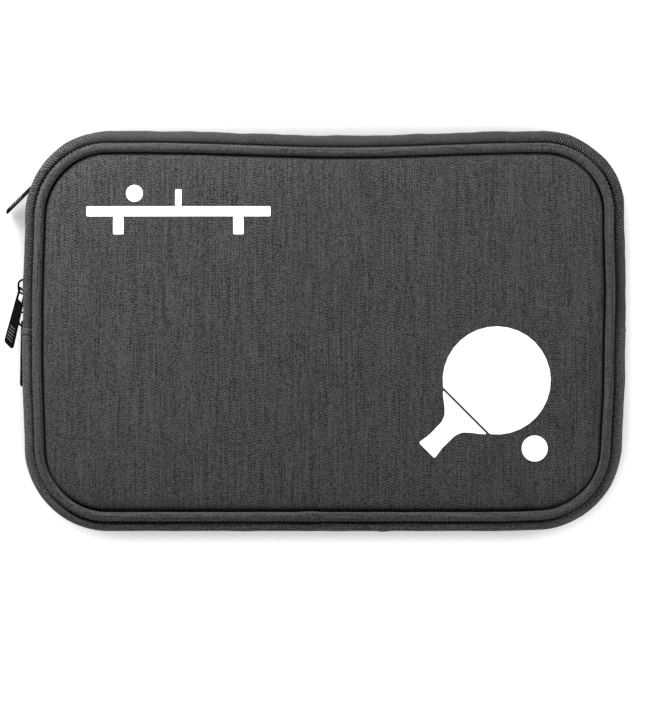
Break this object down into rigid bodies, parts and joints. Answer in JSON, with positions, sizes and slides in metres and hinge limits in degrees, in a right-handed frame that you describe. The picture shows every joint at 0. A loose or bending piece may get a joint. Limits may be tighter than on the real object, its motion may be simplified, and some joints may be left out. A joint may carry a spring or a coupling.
{
  "type": "table tennis paddle case",
  "caption": "Padded zip case for table-tennis paddles with two compartments; the zipped front folds back along a bend line and the zip sliders and pulls move.",
  "frame": {"origin": "centre of the flat back panel, with the case lying on its back", "axes": "+X to the right along the case's width, +Y towards the zipped top edge, +Z out of the printed front"},
  "size_m": [0.3181, 0.2011, 0.0517],
  "materials": {
    "melange_fabric": "woven melange, matte",
    "piping_fabric": "fabric-covered cord",
    "zip_tape": "herringbone woven tape",
    "zip_coil": "nylon coil",
    "black_metal": "black painted die-cast metal",
    "foam": "foam padding",
    "lining": "plain woven lining",
    "board": "plain board",
    "mesh": "open knitted mesh",
    "white_print": "white transfer print"
  },
  "bodies": {
    "base": {"rear_cover": "melange_fabric", "rear_foam": "foam", "rear_lining": "lining", "rear_piping": "piping_fabric", "rear_gusset": "melange_fabric", "rear_zip_rear_tape": "zip_tape", "rear_zip_rear_coil": "zip_coil", "rear_zip_front_tape": "zip_tape", "rear_zip_front_coil": "zip_coil", "rear_zip_end_left": "lining", "rear_zip_end_right": "lining", "divider_board": "board", "divider_lining_rear": "lining", "divider_lining_front": "lining", "middle_piping": "piping_fabric", "mesh_pocket": "mesh", "mesh_pocket_hem": "lining", "main_gusset": "melange_fabric", "main_zip_rear_tape": "zip_tape", "main_zip_rear_coil": "zip_coil", "main_zip_end_left": "lining", "main_zip_end_right": "lining", "main_zip_tape_bend_left": "zip_tape", "main_zip_tape_bend_right": "zip_tape", "main_zip_coil_bend_left": "zip_coil", "main_zip_coil_bend_right": "zip_coil", "front_cover_lower": "melange_fabric", "front_foam_lower": "foam", "front_lining_lower": "lining", "front_piping_lower": "piping_fabric", "front_panel_bend": "melange_fabric", "front_piping_bend_left": "piping_fabric", "front_piping_bend_right": "piping_fabric", "print_paddle_blade": "white_print", "print_paddle_handle": "white_print", "print_paddle_ball": "white_print"},
    "front_flap": {"front_cover_upper": "melange_fabric", "front_foam_upper": "foam", "front_lining_upper": "lining", "front_piping_upper": "piping_fabric", "main_zip_front_tape": "zip_tape", "main_zip_front_coil": "zip_coil", "print_table_top": "white_print", "print_table_leg_left": "white_print", "print_table_leg_right": "white_print", "print_table_net": "white_print", "print_table_ball": "white_print"},
    "slider_upper": {"slider_upper": "black_metal"},
    "pull_upper": {"pull_upper": "black_metal"},
    "slider_lower": {"slider_lower": "black_metal"},
    "pull_lower": {"pull_lower": "black_metal"},
    "slider_rear": {"slider_rear": "black_metal"},
    "pull_rear": {"pull_rear": "black_metal"}
  },
  "joints": [
    {"name": "front_flap_open", "type": "hinge", "parent": "base", "child": "front_flap", "pos_m": [0, 0.028, 0.0334], "axis": [1, 0, 0], "range_deg": [0, 60], "deforming": ["front_panel_bend", "front_piping_bend_left", "front_piping_bend_right", "main_zip_tape_bend_left", "main_zip_tape_bend_right", "main_zip_coil_bend_left", "main_zip_coil_bend_right"]},
    {"name": "slider_upper_slide", "type": "slide", "parent": "base", "child": "slider_upper", "axis": [0, 1, 0], "range_m": [0, 0.03]},
    {"name": "pull_upper_swing", "type": "hinge", "parent": "slider_upper", "child": "pull_upper", "pos_m": [-0.1533, 0.0207, 0.0334], "axis": [0, 0, -1], "range_deg": [-8, 95]},
    {"name": "slider_lower_slide", "type": "slide", "parent": "base", "child": "slider_lower", "axis": [0, 1, 0], "range_m": [0, 0.004]},
    {"name": "pull_lower_swing", "type": "hinge", "parent": "slider_lower", "child": "pull_lower", "pos_m": [-0.1533, 0.0043, 0.0334], "axis": [0, 0, -1], "range_deg": [0, 105]},
    {"name": "slider_rear_run", "type": "hinge", "parent": "base", "child": "slider_rear", "pos_m": [-0.1092, 0.0579, 0.011], "axis": [0, 0, -1], "range_deg": [-19, 39]},
    {"name": "pull_rear_swing", "type": "hinge", "parent": "slider_rear", "child": "pull_rear", "pos_m": [-0.14217, 0.08444, 0.011], "axis": [0, 0, -1], "range_deg": [-20, 150]}
  ]
}
